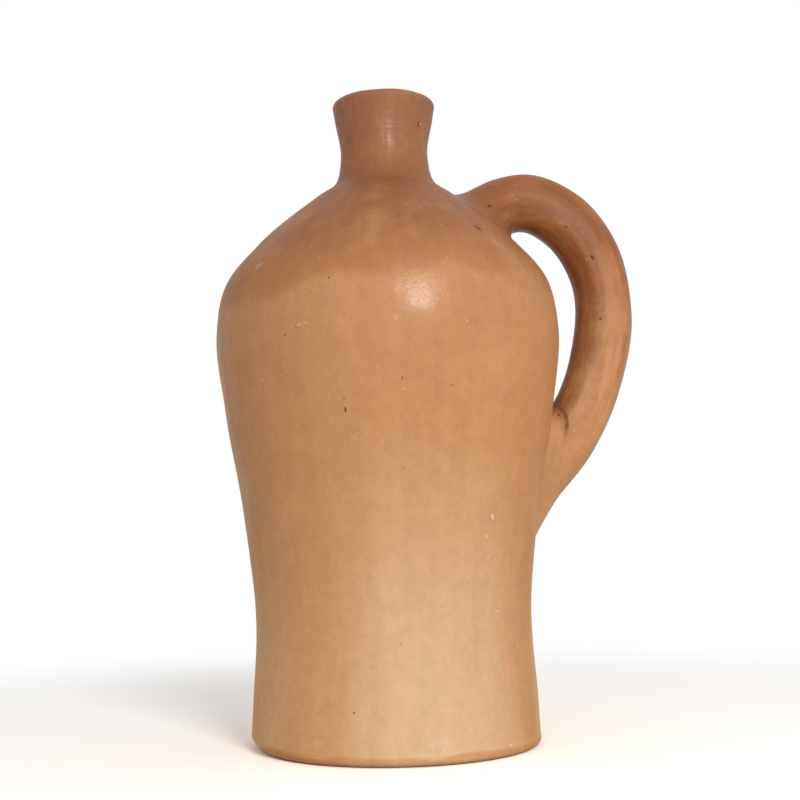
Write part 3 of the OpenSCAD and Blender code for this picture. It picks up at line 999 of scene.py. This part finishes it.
bm = bmesh.new()
bmesh.ops.create_circle(bm, cap_ends=True, segments=96, radius=FLOOR_R)
mesh = bpy.data.meshes.new("floor")
bm.to_mesh(mesh)
bm.free()
stage_floor = bpy.data.objects.new("floor", mesh)
stage_floor.location.z = FLOOR_Z
bpy.context.scene.collection.objects.link(stage_floor)
stage_floor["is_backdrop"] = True
material = bpy.data.materials.new("pale_floor")
material.use_nodes = True
t = material.node_tree
t.nodes.clear()
looked = looked_at(t)
lit = put(t, "BsdfDiffuse", None, Color=blend(t, looked, FLOOR_LIGHTING, FLOOR_SEEN))
glow = put(t, "Emission", None, Color=FLOOR_GLOW, Strength=1.0)
far = window(t, vectors(t, "LENGTH", put(t, "TexCoord").outputs["Object"]), 0.25, 0.6)
both = put(t, "MixShader", None, n0=maths(t, "MULTIPLY", far, looked), n1=lit.outputs[0],
           n2=glow.outputs[0])
t.links.new(both.outputs[0], put(t, "OutputMaterial").inputs["Surface"])
mesh.materials.append(material)
print("The floor is", 2 * FLOOR_R, "m across")

# %% [markdown]
# A pale sky fills the shadows from every side. One soft lamp stands above and behind the
# viewer, a little to the right, and draws the gleam on the belly. A weak one on the right
# draws the thin line of light along the grip. The Standard view keeps the colours as they are
# read off a screen.

# %% Sky and lamps
SKY, SKY_STRENGTH = (1.0, 0.98, 0.96, 1), 0.46
WHITE = (1, 1, 1, 1)
JAR_MIDDLE = Vector((0, 0, 0.19))

world = bpy.data.worlds.new("studio")
bpy.context.scene.world = world
world.use_nodes = True
t = world.node_tree
t.nodes.clear()
sky = put(t, "Background", None, Color=SKY, Strength=SKY_STRENGTH)
white = put(t, "Background", None, Color=WHITE, Strength=1.0)
both = put(t, "MixShader", None, n0=looked_at(t), n1=sky.outputs[0], n2=white.outputs[0])
t.links.new(both.outputs[0], put(t, "OutputWorld").inputs["Surface"])


def lamp(name, place, width, height, power, colour):
    """A soft box that faces the middle of the jar. Place and size are metres."""
    light = bpy.data.lights.new(name, "AREA")
    light.shape = "RECTANGLE"
    light.size, light.size_y = width, height
    light.energy, light.color = power, colour
    facing = (JAR_MIDDLE - Vector(place)).to_track_quat("-Z", "Y").to_matrix().to_4x4()
    made = bpy.data.objects.new(name, light)
    made.matrix_world = Matrix.Translation(place) @ facing
    bpy.context.scene.collection.objects.link(made)
    print(name, "lamp:", power, "W from", round((JAR_MIDDLE - Vector(place)).length, 2), "m")


lamp("key", (0.20, -1.07, 0.54), 0.34, 0.34, 6.6, (1.0, 0.985, 0.95))
lamp("side", (1.30, -0.40, 0.30), 0.20, 0.8, 0.2, (1.0, 0.97, 0.94))
bpy.context.scene.view_settings.view_transform = "Standard"

# %% [markdown]
# The camera stands about two jar heights away, a third of the way up the jar, and looks
# slightly up, as a hand-held camera does, tilted by about one degree. A lens this long keeps
# the foot and the neck in proportion, where a wide one would shrink the neck.

# %% Camera
FOCAL_PX, PICTURE_PX = 1375.44, 800
SENSOR_MM = 36
# the view's direction on the ground, eight degrees to the right of +Y
AHEAD_X, AHEAD_Y = 0.1392, 0.9903
CAMERA_AT = Vector((-0.09815, -0.74021, 0.11667))
pitch, roll = radians(5.104), radians(1.239)
forward = Vector((AHEAD_X * cos(pitch), AHEAD_Y * cos(pitch), sin(pitch))).normalized()
right = Vector((AHEAD_Y, -AHEAD_X, 0)).normalized()
up = right.cross(forward)
side = right * cos(roll) - up * sin(roll)
top = right * sin(roll) + up * cos(roll)
lens = bpy.data.cameras.new("camera")
lens.sensor_width = SENSOR_MM
lens.lens = FOCAL_PX / PICTURE_PX * SENSOR_MM
camera = bpy.data.objects.new("camera", lens)
camera.matrix_world = Matrix((side, top, -forward)).transposed().to_4x4()
camera.location = CAMERA_AT
bpy.context.scene.collection.objects.link(camera)
bpy.context.scene.camera = camera
print("The lens is", round(lens.lens, 1), "mm, and the jar is", round(CAMERA_AT.length / jar_h, 1),
      "of its heights away")

# %% [markdown]
# ## Sizes
#
# The last cell writes down how large the frame and the dressed jar are. The jar should come
# out a hair smaller, and never larger, because other things are placed by the frame's box.

# %% Compare the sizes and finish
shown_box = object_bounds()
for label, (low, high) in (("Frame", frame_box), ("Visual", shown_box)):
    print(label, [round(v * 1000, 2) for v in low], [round(v * 1000, 2) for v in high], "mm")
